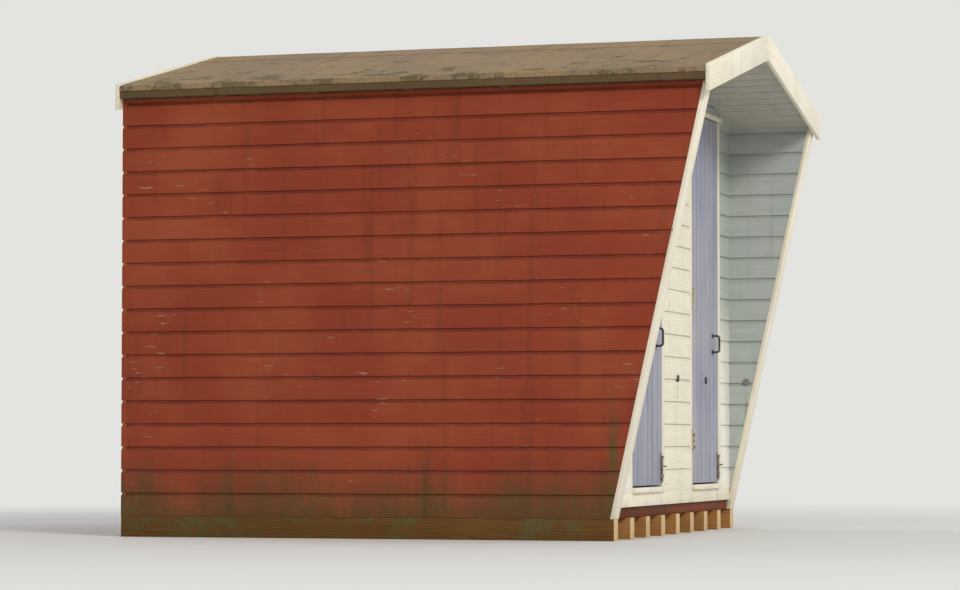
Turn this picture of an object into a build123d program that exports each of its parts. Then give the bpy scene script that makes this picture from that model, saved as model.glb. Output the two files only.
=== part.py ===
from build123d import *
from math import cos, hypot, radians, tan
import os

# Lengths are in millimetres. X runs along the front, Y from the front to the rear and Z up from the ground.
# The origin is on the ground in the middle of the floor.

# Main body
body_width = 2440.0  # over the boards of the two side walls
body_depth = 2440.0  # over the boards of the front and rear walls
roof_pitch = 12.5  # degrees
head_rise = 15.0  # top of the side boards to the head of the doorways
wing_reach = 465.0  # how far each side wall stands out from the front frame at the eaves, with its trim

# Ground timbers and floor
bearer_height = 100.0
bearer_width = 75.0
bearer_count = 9
beam_height = 50.0
beam_width = 75.0
joist_height = 45.0
joist_width = 50.0
joist_count = 7
deck_thickness = 18.0
plinth_thickness = 20.0

# Wall boards and frame
board_thickness = 20.0
lining_thickness = 15.0
trim_thickness = 20.0
frame_width = 50.0  # across the wall
stud_width = 50.0  # along the wall
side_stud_count = 6
rear_stud_count = 5

# Roof
rafter_depth = 50.0
rafter_width = 50.0
rafter_bays = 5  # between the front and rear walls
ridge_width = 40.0
roof_board_thickness = 18.0
felt_thickness = 4.0
felt_drop = 22.0
soffit_thickness = 12.0
eaves_overhang = 40.0  # side boards to the face of the fascia
fascia_thickness = 20.0
fascia_depth = 58.0
barge_thickness = 20.0
barge_depth = 122.0  # square to the slope
barge_upstand = 8.0  # above the felt

# Doors
door_width = 560.0
door_height = 1860.0
side_strip_width = 224.0  # side wall's frame to the first jamb
door_gap = 6.0  # to the jambs and the head
door_foot_gap = 8.0
sill_thickness = 25.0
sill_nose = 15.0  # in front of the wall
jamb_width = 45.0
jamb_depth = 70.0
stop_width = 12.0
stop_setback = 26.0  # front of the jamb to the stop
header_height = 45.0
drip_height = 24.0
drip_thickness = 15.0
door_board_thickness = 20.0
ledge_thickness = 22.0
ledge_height = 110.0
ledge_inset = 30.0  # door edge to ledge end
ledge_offset = 170.0  # door end to the middle of the outer ledges
brace_width = 90.0

# Butt hinges
hinge_height = 100.0
hinge_count = 3
hinge_offset = 220.0  # door end to the middle of the outer hinges
flap_thickness = 2.5
flap_depth = 32.0
knuckle_radius = 6.0
knuckle_gap = 0.5
pin_radius = 3.0
pin_clearance = 0.06
pin_standoff = 7.5  # face of the door to the pin's axis

# Door furniture
handle_inset = 130.0  # free edge of the door to the handle
handle_height = 955.0  # above the ground
handle_length = 84.0
handle_reach = 38.0
handle_bar_radius = 5.5
handle_bend_radius = 14.0
rose_radius = 12.0
rose_thickness = 4.0
boss_height = 765.0  # above the ground
boss_radius = 18.0
boss_thickness = 6.0
boss_reach = 110.0  # front frame to the boss on each wing
bolt_inset = 28.0  # free edge of the door to the foot bolt
bolt_length = 130.0
bolt_radius = 5.0
bolt_plate_width = 26.0
bolt_plate_thickness = 3.0
bolt_plate_foot = 24.0  # door end to plate
bolt_strap_height = 14.0
bolt_strap_reach = 7.0  # middle of the bolt to the face of its straps
bolt_knob_length = 16.0
bolt_knob_radius = 4.0
bolt_seat = 0.5  # how deep the bolt runs in the groove of its plate

# Levels and places that follow from the sizes above
slope = tan(radians(roof_pitch))
stretch = 1 / cos(radians(roof_pitch))  # upright height of one unit square to the slope
half_width = body_width / 2
half_ridge = ridge_width / 2
front_face = -body_depth / 2
front = front_face + board_thickness  # front of the frame, where the wings begin
rear = body_depth / 2
beam_top = bearer_height + beam_height
deck_top = beam_top + joist_height + deck_thickness
frame_outer = half_width - board_thickness
frame_inner = frame_outer - frame_width
lining_inner = frame_inner - lining_thickness
rear_inner = rear - board_thickness
door_foot = deck_top + sill_thickness + door_foot_gap
door_top = door_foot + door_height
header_foot = door_top + door_gap
wall_top = header_foot - head_rise
wall_height = wall_top - bearer_height
opening_half = door_width / 2 + door_gap
door_offset = frame_inner - side_strip_width - jamb_width - opening_half
door_centres = {"left": -door_offset, "right": door_offset}
roof_side = half_width + eaves_overhang
rafter_tail = roof_side - fascia_thickness
sides = {"left": -1, "right": 1}


def underside(x):
    """Height of the rafters' underside at a distance x from the ridge."""
    return wall_top + (half_width - x) * slope


def rafter_top(x):
    return underside(x) + rafter_depth * stretch


def roof_board_top(x):
    return rafter_top(x) + roof_board_thickness * stretch


def felt_top(x):
    return roof_board_top(x) + felt_thickness * stretch


def barge_top(x):
    return felt_top(x) + barge_upstand


# The wing's sloping frame line runs from the foot of the front wall to the eaves
plate_top = underside(frame_inner)
plate_foot = plate_top - frame_width
trim_across = hypot(trim_thickness, trim_thickness * wing_reach / wall_height)
wing_slope = (wing_reach - trim_across) / wall_height
wing_stretch = hypot(1, wing_slope)


def wing_line(z):
    """Where the front edge of the wing's frame stands at a height z."""
    return front - wing_slope * (z - bearer_height)


roof_front = wing_line(wall_top) - trim_across


def block(x_range, y_range, z_range):
    """A square timber between three pairs of planes."""
    (x0, x1), (y0, y1), (z0, z1) = (sorted(pair) for pair in (x_range, y_range, z_range))
    return Pos((x0 + x1) / 2, (y0 + y1) / 2, (z0 + z1) / 2) * Box(x1 - x0, y1 - y0, z1 - z0)


def cut_along_y(outline, y_range):
    """A piece with an outline seen from the front, cut from the first plane to the second."""
    y0, y1 = y_range
    face = Face(Wire.make_polygon([(x, y0, z) for x, z in outline]))
    return Solid.extrude(face, Vector(0, y1 - y0, 0))


def cut_along_x(outline, x_range):
    """A piece with an outline seen from the side."""
    x0, x1 = x_range
    face = Face(Wire.make_polygon([(x0, y, z) for y, z in outline]))
    return Solid.extrude(face, Vector(x1 - x0, 0, 0))


def cut_along_z(outline, z_range):
    """A piece with an outline seen from above."""
    z0, z1 = z_range
    face = Face(Wire.make_polygon([(x, y, z0) for x, y in outline]))
    return Solid.extrude(face, Vector(0, 0, z1 - z0))


def rod(start, end, radius):
    """A round bar between two points."""
    line = Edge.make_line(start, end)
    return Solid.make_cylinder(radius, line.length, Plane(start, z_dir=line % 0))


def spread(first, last, count):
    """Evenly spaced places from the first to the last."""
    step = (last - first) / (count - 1)
    return [first + step * index for index in range(count)]


def both_sides(make):
    """The same piece on the left and on the right."""
    return [make(sign) for sign in sides.values()]


# Ground timbers and floor


def ground_bearers():
    edge = half_width - bearer_width / 2
    reach = bearer_width / 2
    return [
        block((x - reach, x + reach), (front_face, rear), (0, bearer_height))
        for x in spread(-edge, edge, bearer_count)
    ]


def edge_beams():
    levels = (bearer_height, beam_top)
    inner = frame_outer - beam_width
    return both_sides(lambda sign: block((sign * inner, sign * frame_outer), (front, rear_inner), levels))


def cross_beams():
    inner = frame_outer - beam_width
    reach = beam_width / 2
    return [
        block((-inner, inner), (y - reach, y + reach), (bearer_height, beam_top))
        for y in spread(front + reach, rear_inner - reach, 3)
    ]


def floor_joists():
    edge = frame_outer - joist_width / 2
    reach = joist_width / 2
    return [
        block((x - reach, x + reach), (front, rear_inner), (beam_top, beam_top + joist_height))
        for x in spread(-edge, edge, joist_count)
    ]


def floor_deck():
    levels = (beam_top + joist_height, deck_top)
    return [block((-frame_outer, frame_outer), (front, rear_inner), levels)]


def plinth_board():
    levels = (beam_top, deck_top)
    return [block((-lining_inner, lining_inner), (front - plinth_thickness, front), levels)]


# Side walls with their tapered wings


def side_cladding(sign):
    outline = [
        (front, bearer_height),
        (rear_inner, bearer_height),
        (rear_inner, wall_top),
        (wing_line(wall_top), wall_top),
    ]
    return [cut_along_x(outline, (sign * frame_outer, sign * half_width))]


def wing_linings():
    outline = [(front, bearer_height), (front, plate_top), (wing_line(plate_top), plate_top)]
    return both_sides(lambda sign: cut_along_x(outline, (sign * lining_inner, sign * frame_inner)))


def wing_trims():
    outline = [
        (front, bearer_height),
        (front - trim_across, bearer_height),
        (roof_front, wall_top),
        (wing_line(wall_top), wall_top),
    ]
    return both_sides(lambda sign: cut_along_x(outline, (sign * lining_inner, sign * half_width)))


def wing_raking_studs():
    across = stud_width * wing_stretch
    outline = [
        (front, bearer_height),
        (front, bearer_height + across / wing_slope),
        (wing_line(plate_foot) + across, plate_foot),
        (wing_line(plate_foot), plate_foot),
    ]
    return both_sides(lambda sign: cut_along_x(outline, (sign * frame_inner, sign * frame_outer)))


def wall_plates():
    length = (wing_line(plate_foot), rear_inner)
    return both_sides(
        lambda sign: block((sign * frame_inner, sign * frame_outer), length, (plate_foot, plate_top))
    )


def wall_studs():
    """Side studs, the rear wall's studs and the one in the middle of the front wall."""
    reach = stud_width / 2
    foot = deck_top + frame_width
    studs = []
    for sign in sides.values():
        for y in spread(front + reach, rear_inner - reach, side_stud_count):
            across = (sign * frame_inner, sign * frame_outer)
            studs.append(block(across, (y - reach, y + reach), (foot, plate_foot)))
    rear_places = spread(-frame_inner, frame_inner, rear_stud_count + 2)[1:-1]
    for x in rear_places:
        studs.append(upright(x, foot, (rear_inner - frame_width, rear_inner)))
    studs.append(upright(0, foot, (front, front + frame_width), header_foot))
    return studs


def upright(x, foot, y_range, top=None):
    """A stud at x, cut to the slope of the rafter above it, or square below a header."""
    reach = stud_width / 2
    places = [x - reach, x + reach] if x else [-reach, 0, reach]
    head = [(place, top or underside(max(abs(place), half_ridge))) for place in reversed(places)]
    return cut_along_y([(x - reach, foot), (x + reach, foot), *head], y_range)


def bottom_rails():
    """Rails on the deck under the studs of each wall, with gaps at the doorways."""
    levels = (deck_top, deck_top + frame_width)
    rails = both_sides(
        lambda sign: block((sign * frame_inner, sign * frame_outer), (front, rear_inner), levels)
    )
    rails.append(block((-frame_inner, frame_inner), (rear_inner - frame_width, rear_inner), levels))
    for strip in front_strips(frame_inner).values():
        rails.append(block(strip, (front, front + frame_width), levels))
    return rails


# Front wall


def front_strips(edge):
    """The stretches of front wall beside the two doorways, by name, out to the edge on each side."""
    jamb_outer = opening_half + jamb_width
    left, right = door_centres["left"], door_centres["right"]
    return {
        "left": (-edge, left - jamb_outer),
        "middle": (left + jamb_outer, right - jamb_outer),
        "right": (right + jamb_outer, edge),
    }


def under_rafters(y_range):
    """The room below the rafters, to cut the top of a piece to the slopes."""
    outline = [
        (-half_width, 0),
        (half_width, 0),
        (half_width, wall_top),
        (half_ridge, underside(half_ridge)),
        (-half_ridge, underside(half_ridge)),
        (-half_width, wall_top),
    ]
    return cut_along_y(outline, y_range)


def front_cladding(name):
    face = (front_face, front)
    board = block(front_strips(lining_inner)[name], face, (deck_top, header_foot))
    return [board & under_rafters(face)]


def front_gable():
    face = (front_face, front)
    board = block((-lining_inner, lining_inner), face, (header_foot, underside(0)))
    return [board & under_rafters(face)]


def door_jambs():
    """Rebated posts on both sides of each doorway."""
    jambs = []
    for centre in door_centres.values():
        for sign in sides.values():
            face = centre + sign * opening_half
            back = face + sign * jamb_width
            stop = face - sign * stop_width
            outline = [
                (face, front_face),
                (back, front_face),
                (back, front_face + jamb_depth),
                (stop, front_face + jamb_depth),
                (stop, front_face + stop_setback),
                (face, front_face + stop_setback),
            ]
            post = cut_along_z(outline, (deck_top, header_foot))
            for z in hinge_places():
                if sign < 0:
                    post -= flap_recess(face, face - flap_thickness, z)
            jambs.append(post)
    return jambs


def door_header():
    """The beam over both doorways, with a stop behind the top of each door."""
    reach = door_offset + opening_half + jamb_width
    back = front_face + jamb_depth
    header = block((-reach, reach), (front, back), (header_foot, header_foot + header_height))
    header &= under_rafters((front, back))
    for centre in door_centres.values():
        inner = opening_half - stop_width
        stop = (front_face + stop_setback, back)
        header += block((centre - inner, centre + inner), stop, (header_foot - stop_width, header_foot))
    return [header]


def door_sills():
    """Thresholds that reach over the plinth, with the nose rounded over."""
    nose = front_face - sill_nose
    levels = (deck_top, deck_top + sill_thickness)
    sills = []
    for centre in door_centres.values():
        inner = opening_half - stop_width
        sill = block((centre - inner, centre + inner), (nose, front_face + jamb_depth), levels)
        tread = (nose, front_face + stop_setback)
        sill += block((centre - opening_half, centre + opening_half), tread, levels)
        long_edges = sill.edges().filter_by(Axis.X)
        nose_edge = long_edges.sort_by(lambda edge: edge.center().Y - edge.center().Z)[0]
        sills.append(fillet(nose_edge, sill_thickness / 3))
    return sills


def door_drips():
    """A narrow board over each doorway that throws the rain off its head."""
    reach = opening_half + jamb_width
    face = (front_face - drip_thickness, front_face)
    levels = (header_foot, header_foot + drip_height)
    return [block((centre - reach, centre + reach), face, levels) for centre in door_centres.values()]


def rear_cladding():
    outline = [
        (-half_width, bearer_height),
        (half_width, bearer_height),
        (half_width, rafter_top(half_width)),
        (0, rafter_top(0)),
        (-half_width, rafter_top(half_width)),
    ]
    return [cut_along_y(outline, (rear_inner, rear))]


# Roof


def rafter_places():
    """The front face of each rafter: the one behind the bargeboard, then those over the room."""
    room = spread(front, rear_inner - rafter_width, rafter_bays + 1)
    return [roof_front, *room]


def rafters():
    """Rafters with a plumb cut at the ridge and a birdsmouth over the wall plate."""
    pieces = []
    for sign in sides.values():
        outline = [
            (half_ridge, rafter_top(half_ridge)),
            (rafter_tail, rafter_top(rafter_tail)),
            (rafter_tail, underside(rafter_tail)),
            (frame_outer, underside(frame_outer)),
            (frame_outer, plate_top),
            (frame_inner, plate_top),
            (half_ridge, underside(half_ridge)),
        ]
        turned = [(sign * x, z) for x, z in outline]
        for y in rafter_places():
            pieces.append(cut_along_y(turned, (y, y + rafter_width)))
    return pieces


def ridge_board():
    outline = [
        (-half_ridge, underside(half_ridge)),
        (half_ridge, underside(half_ridge)),
        (half_ridge, rafter_top(half_ridge)),
        (0, rafter_top(0)),
        (-half_ridge, rafter_top(half_ridge)),
    ]
    return [cut_along_y(outline, (roof_front, rear_inner))]


def roof_boards(sign):
    outline = [
        (0, rafter_top(0)),
        (sign * rafter_tail, rafter_top(rafter_tail)),
        (sign * rafter_tail, roof_board_top(rafter_tail)),
        (0, roof_board_top(0)),
    ]
    return [cut_along_y(outline, (roof_front, rear))]


def roof_felt():
    """One sheet folded over the ridge and turned down over both fascias."""
    edge = roof_side + felt_thickness
    drip = felt_top(edge) - felt_thickness * stretch - felt_drop
    right = [
        (edge, felt_top(edge)),
        (edge, drip),
        (roof_side, drip),
        (roof_side, roof_board_top(roof_side)),
    ]
    left = [(-x, z) for x, z in reversed(right)]
    outline = [(0, felt_top(0)), *right, (0, roof_board_top(0)), *left]
    return [cut_along_y(outline, (roof_front, rear))]


def eaves_fascias():
    top = roof_board_top(roof_side)
    outline = [
        (rafter_tail, top - fascia_depth),
        (roof_side, top - fascia_depth),
        (roof_side, top),
        (rafter_tail, roof_board_top(rafter_tail)),
    ]
    return both_sides(
        lambda sign: cut_along_y([(sign * x, z) for x, z in outline], (roof_front, rear))
    )


def bargeboards(sign):
    """The front and rear boards on one slope, mitred at the ridge and cut plumb at the eaves."""
    end = roof_side + felt_thickness
    drop = barge_depth * stretch
    outline = [
        (0, barge_top(0)),
        (sign * end, barge_top(end)),
        (sign * end, barge_top(end) - drop),
        (0, barge_top(0) - drop),
    ]
    faces = [(roof_front - barge_thickness, roof_front), (rear, rear + barge_thickness)]
    return [cut_along_y(outline, face) for face in faces]


def porch_soffit(sign):
    drop = soffit_thickness * stretch
    outline = [
        (0, underside(half_ridge)),
        (sign * half_ridge, underside(half_ridge)),
        (sign * lining_inner, underside(lining_inner)),
        (sign * lining_inner, underside(lining_inner) - drop),
        (0, underside(0) - drop),
    ]
    return [cut_along_y(outline, (roof_front, front_face))]


# Doors


def hinge_places():
    return spread(door_foot + hinge_offset, door_top - hinge_offset, hinge_count)


def pin_axis(side):
    """Where the pins of one door stand, seen from above."""
    return door_centres[side] - door_width / 2 - door_gap / 2, front_face - pin_standoff


def flap_recess(x0, x1, z):
    reach = hinge_height / 2
    return block((x0, x1), (front_face, front_face + flap_depth - pin_standoff), (z - reach, z + reach))


def door_boards(side):
    centre = door_centres[side]
    edge = centre - door_width / 2
    face = (front_face, front_face + door_board_thickness)
    leaf = block((edge, centre + door_width / 2), face, (door_foot, door_top))
    for z in hinge_places():
        leaf -= flap_recess(edge, edge + flap_thickness, z)
    return [leaf]


def ledge_places():
    return spread(door_foot + ledge_offset, door_top - ledge_offset, 3)


def door_ledges(side):
    centre = door_centres[side]
    reach = door_width / 2 - ledge_inset
    back = front_face + door_board_thickness
    half = ledge_height / 2
    return [
        block((centre - reach, centre + reach), (back, back + ledge_thickness), (z - half, z + half))
        for z in ledge_places()
    ]


def door_braces(side):
    """Two raking braces that rise from the hinge side between the ledges."""
    centre = door_centres[side]
    reach = door_width / 2 - ledge_inset
    back = front_face + door_board_thickness
    half = ledge_height / 2
    levels = ledge_places()
    braces = []
    for low, high in zip(levels, levels[1:]):
        foot, head = low + half, high - half
        outline = [
            (centre - reach, foot),
            (centre - reach + brace_width, foot),
            (centre + reach, head),
            (centre + reach - brace_width, head),
        ]
        braces.append(cut_along_y(outline, (back, back + ledge_thickness)))
    return braces


def hinge_flap(side, z, sign):
    """A flap that lies in its recess and reaches out to the pin, on the door (1) or the jamb (-1)."""
    x, y = pin_axis(side)
    face = x + sign * door_gap / 2
    half = hinge_height / 2
    back = front_face + flap_depth - pin_standoff
    return block((face, face + sign * flap_thickness), (y, back), (z - half, z + half))


def knuckle_levels(z, fixed):
    """Heights of the knuckles: the outer two on the fixed flap, the middle one on the door's flap."""
    third = hinge_height / 3
    low = z - hinge_height / 2
    if fixed:
        return [(low, low + third), (low + 2 * third, low + 3 * third)]
    return [(low + third + knuckle_gap, low + 2 * third - knuckle_gap)]


def hinge_half(side, z, fixed):
    x, y = pin_axis(side)
    half = flap = hinge_flap(side, z, -1 if fixed else 1)
    room = knuckle_radius + knuckle_gap
    for low, high in knuckle_levels(z, not fixed):
        half -= rod((x, y, low - knuckle_gap), (x, y, high + knuckle_gap), room)
    for low, high in knuckle_levels(z, fixed):
        half += rod((x, y, low), (x, y, high), knuckle_radius)
    if fixed:
        top = z + hinge_height / 2
        return half + rod((x, y, z - hinge_height / 2), (x, y, top), pin_radius)
    low, high = knuckle_levels(z, fixed)[0]
    return half - rod((x, y, low), (x, y, high), pin_radius + pin_clearance)


def door_hinge_flaps(side):
    return [hinge_half(side, z, False) for z in hinge_places()]


def frame_hinges():
    return [hinge_half(side, z, True) for side in sides for z in hinge_places()]


def pull_handle(x):
    """A bent round bar on two roses."""
    half = handle_length / 2
    tip = front_face - handle_reach
    points = [
        (x, front_face, handle_height - half),
        (x, tip, handle_height - half),
        (x, tip, handle_height + half),
        (x, front_face, handle_height + half),
    ]
    path = FilletPolyline(*points, radius=handle_bend_radius)
    handle = sweep(Plane(points[0], z_dir=(0, -1, 0)) * Circle(handle_bar_radius), path=path)
    for _, y, z in (points[0], points[3]):
        handle += rod((x, y, z), (x, y - rose_thickness, z), rose_radius)
    return handle


def round_boss(x):
    return rod((x, front_face, boss_height), (x, front_face - boss_thickness, boss_height), boss_radius)


def wall_bosses():
    """The same round bosses on the panel between the doors and on the inner face of each wing."""
    y = front - boss_reach
    inner = lining_inner - boss_thickness
    wings = both_sides(
        lambda sign: rod((sign * lining_inner, y, boss_height), (sign * inner, y, boss_height), boss_radius)
    )
    return [round_boss(0), *wings]


def foot_bolt(x):
    """A drawn bolt on its plate, held by two straps, with a knob to lift it."""
    low = door_foot + bolt_plate_foot
    high = low + bolt_length
    face = front_face - bolt_plate_thickness
    axis = face - bolt_radius + bolt_seat
    half = bolt_plate_width / 2
    plate = block((x - half, x + half), (face, front_face), (low, high))
    bar = rod((x, axis, low - bolt_plate_foot / 2), (x, axis, high - bolt_strap_height), bolt_radius)
    bolt = plate + bar
    strap = (axis - bolt_strap_reach, front_face)
    for z in (low + bolt_strap_height, high - 2 * bolt_strap_height):
        reach = 2 * bolt_radius
        bolt += block((x - reach, x + reach), strap, (z, z + bolt_strap_height))
    knob_level = (low + high) / 2
    knob_end = axis - bolt_radius - bolt_knob_length
    return bolt + rod((x, axis, knob_level), (x, knob_end, knob_level), bolt_knob_radius)


def door_furniture(side):
    free_edge = door_centres[side] + door_width / 2
    return [
        pull_handle(free_edge - handle_inset),
        round_boss(door_centres[side]),
        foot_bolt(free_edge - bolt_inset),
    ]


def all_nodes():
    """Every named piece of the hut."""
    nodes = {
        "ground_bearers": ground_bearers(),
        "edge_beams": edge_beams(),
        "cross_beams": cross_beams(),
        "floor_joists": floor_joists(),
        "floor_deck": floor_deck(),
        "plinth_board": plinth_board(),
        "wing_linings": wing_linings(),
        "wing_trims": wing_trims(),
        "wing_raking_studs": wing_raking_studs(),
        "wall_plates": wall_plates(),
        "wall_studs": wall_studs(),
        "bottom_rails": bottom_rails(),
        "front_gable": front_gable(),
        "door_jambs": door_jambs(),
        "door_header": door_header(),
        "door_sills": door_sills(),
        "door_drips": door_drips(),
        "rear_cladding": rear_cladding(),
        "rafters": rafters(),
        "ridge_board": ridge_board(),
        "roof_felt": roof_felt(),
        "eaves_fascias": eaves_fascias(),
        "frame_hinges": frame_hinges(),
        "wall_bosses": wall_bosses(),
    }
    for name in front_strips(lining_inner):
        nodes[f"front_cladding_{name}"] = front_cladding(name)
    for side, sign in sides.items():
        nodes[f"side_cladding_{side}"] = side_cladding(sign)
        nodes[f"roof_boards_{side}"] = roof_boards(sign)
        nodes[f"bargeboards_{side}"] = bargeboards(sign)
        nodes[f"porch_soffit_{side}"] = porch_soffit(sign)
        nodes[f"door_boards_{side}"] = door_boards(side)
        nodes[f"door_ledges_{side}"] = door_ledges(side)
        nodes[f"door_braces_{side}"] = door_braces(side)
        nodes[f"door_hinge_flaps_{side}"] = door_hinge_flaps(side)
        nodes[f"door_furniture_{side}"] = door_furniture(side)
    return nodes


os.makedirs("parts", exist_ok=True)
for name, solids in all_nodes().items():
    export_step(Compound([solid for piece in solids for solid in piece.solids()]), f"parts/{name}.step")
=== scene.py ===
import random
from math import ceil, cos, floor, radians, sin, tan

import bmesh
import bpy
from mathutils import Matrix, Vector


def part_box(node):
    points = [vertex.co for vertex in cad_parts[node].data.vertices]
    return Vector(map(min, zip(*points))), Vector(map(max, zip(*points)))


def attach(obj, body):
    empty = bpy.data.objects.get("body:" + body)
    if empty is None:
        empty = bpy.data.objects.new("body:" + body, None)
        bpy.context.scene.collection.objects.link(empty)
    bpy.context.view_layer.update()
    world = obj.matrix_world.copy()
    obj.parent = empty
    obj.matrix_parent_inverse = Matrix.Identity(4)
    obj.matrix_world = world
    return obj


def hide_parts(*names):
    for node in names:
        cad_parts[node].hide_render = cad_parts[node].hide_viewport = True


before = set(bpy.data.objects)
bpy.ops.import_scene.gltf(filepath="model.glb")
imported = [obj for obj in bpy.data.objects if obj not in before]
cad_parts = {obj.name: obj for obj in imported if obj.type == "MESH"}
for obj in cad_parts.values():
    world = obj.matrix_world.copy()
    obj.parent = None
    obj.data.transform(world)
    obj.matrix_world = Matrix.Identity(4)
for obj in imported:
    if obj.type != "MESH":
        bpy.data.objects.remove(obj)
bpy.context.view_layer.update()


def boxOf(packed):
    low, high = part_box(packed)
    return Vector(low), Vector(high)


def spread(first, last, count):
    return [first + (last - first) * index / (count - 1) for index in range(count)]


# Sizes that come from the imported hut, in metres
sideLow, sideHigh = boxOf("side_cladding_left")
plinthLow, plinthHigh = boxOf("plinth_board")
deckLow, deckHigh = boxOf("floor_deck")
rearLow, rearHigh = boxOf("rear_cladding")
liningLow, liningHigh = boxOf("wing_linings")
feltLow, feltHigh = boxOf("roof_felt")
doorHead = boxOf("front_gable")[0].z
halfWidth = -sideLow.x
frameOuter = -sideHigh.x
frameInner = liningHigh.x
liningInner = plinthHigh.x
frontFace = plinthLow.y
frontFrame = plinthHigh.y
rearFrame = rearLow.y
rearFace = rearHigh.y
boardsFoot = sideLow.z
eaves = sideHigh.z

# Sizes that go with them
roofPitch = radians(12.5)
rafterDepth = 0.050
halfStud = 0.025
slope = tan(roofPitch)
up = Vector((0, 0, 1))
sides = {"left": -1, "right": 1}
downRoof = {sign: Vector((sign * cos(roofPitch), 0, -sin(roofPitch))) for sign in sides.values()}
offRoof = {sign: Vector((sign * sin(roofPitch), 0, cos(roofPitch))) for sign in sides.values()}


# Node helpers

def linear(value):
    # a colour as it is picked on screen, turned into the linear values that shaders use
    if not isinstance(value, str):
        return value
    parts = [int(value[start:start + 2], 16) / 255 for start in (1, 3, 5)]
    return (*[v / 12.92 if v <= 0.04045 else ((v + 0.055) / 1.055) ** 2.4 for v in parts], 1.0)


def feed(tree, sockets, values):
    # links what comes out of a node, and sets plain values
    for key, value in values.items():
        if isinstance(value, bpy.types.NodeSocket):
            tree.links.new(value, sockets[key])
        else:
            sockets[key].default_value = linear(value)


def node(tree, kind, inputs=None, **settings):
    made = tree.nodes.new(kind)
    for key, value in settings.items():
        setattr(made, key, value)
    feed(tree, made.inputs, inputs or {})
    return made


def useGroup(tree, group, inputs):
    made = tree.nodes.new("ShaderNodeGroup")
    made.node_tree = group
    feed(tree, made.inputs, inputs)
    return made.outputs


def noiseAt(tree, place, scale, detail=4.0, roughness=0.55):
    values = {"Vector": place, "Scale": scale, "Detail": detail, "Roughness": roughness}
    return node(tree, "ShaderNodeTexNoise", values).outputs["Fac"]


def streaksAt(tree, place, scale, detail=4.0, roughness=0.55):
    # noise with a scale of its own in each direction
    drawn = node(tree, "ShaderNodeMapping", {"Vector": place, "Scale": scale}).outputs["Vector"]
    return noiseAt(tree, drawn, 1.0, detail, roughness)


def rangeOf(tree, value, low, high, toLow=0.0, toHigh=1.0):
    values = {"Value": value, "From Min": low, "From Max": high, "To Min": toLow, "To Max": toHigh}
    return node(tree, "ShaderNodeMapRange", values, interpolation_type="SMOOTHSTEP").outputs["Result"]


def calc(tree, operation, first, second=0.0):
    return node(tree, "ShaderNodeMath", {0: first, 1: second}, operation=operation).outputs["Value"]


def times(tree, first, second):
    return calc(tree, "MULTIPLY", first, second)


def plus(tree, first, second):
    return calc(tree, "ADD", first, second)


def minus(tree, first, second):
    return calc(tree, "SUBTRACT", first, second)


def mixOf(tree, factor, first, second, mode="MIX"):
    values = {0: factor, 6: first, 7: second}
    return node(tree, "ShaderNodeMix", values, data_type="RGBA", blend_type=mode).outputs[2]


def shaded(tree, color, light):
    grey = node(tree, "ShaderNodeCombineXYZ", {0: light, 1: light, 2: light}).outputs[0]
    return mixOf(tree, 1.0, color, grey, "MULTIPLY")


def stained(tree, color, mask, strength, stain):
    return mixOf(tree, times(tree, mask, strength), color, stain)


def grainPlace(tree):
    return node(tree, "ShaderNodeUVMap", uv_map="grain").outputs["UV"]


def objectPlace(tree):
    return node(tree, "ShaderNodeTexCoord").outputs["Object"]


def axesOf(tree, place):
    return node(tree, "ShaderNodeSeparateXYZ", {0: place}).outputs


def faceValue(tree, name):
    return node(tree, "ShaderNodeAttribute", attribute_name=name).outputs["Fac"]


def newGroup(name, inputs, outputs):
    # the inputs come with their first values: a single number, or a colour
    tree = bpy.data.node_groups.new(name, "ShaderNodeTree")
    for label, value in inputs.items():
        kind = "NodeSocketFloat" if isinstance(value, float) else "NodeSocketColor"
        tree.interface.new_socket(name=label, in_out="INPUT", socket_type=kind).default_value = linear(value)
    for label in outputs:
        kind = "NodeSocketColor" if label == "Color" else "NodeSocketFloat"
        tree.interface.new_socket(name=label, in_out="OUTPUT", socket_type=kind)
    entry = tree.nodes.new("NodeGroupInput").outputs
    leave = tree.nodes.new("NodeGroupOutput").inputs
    return tree, entry, leave


# Shared effects

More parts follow.
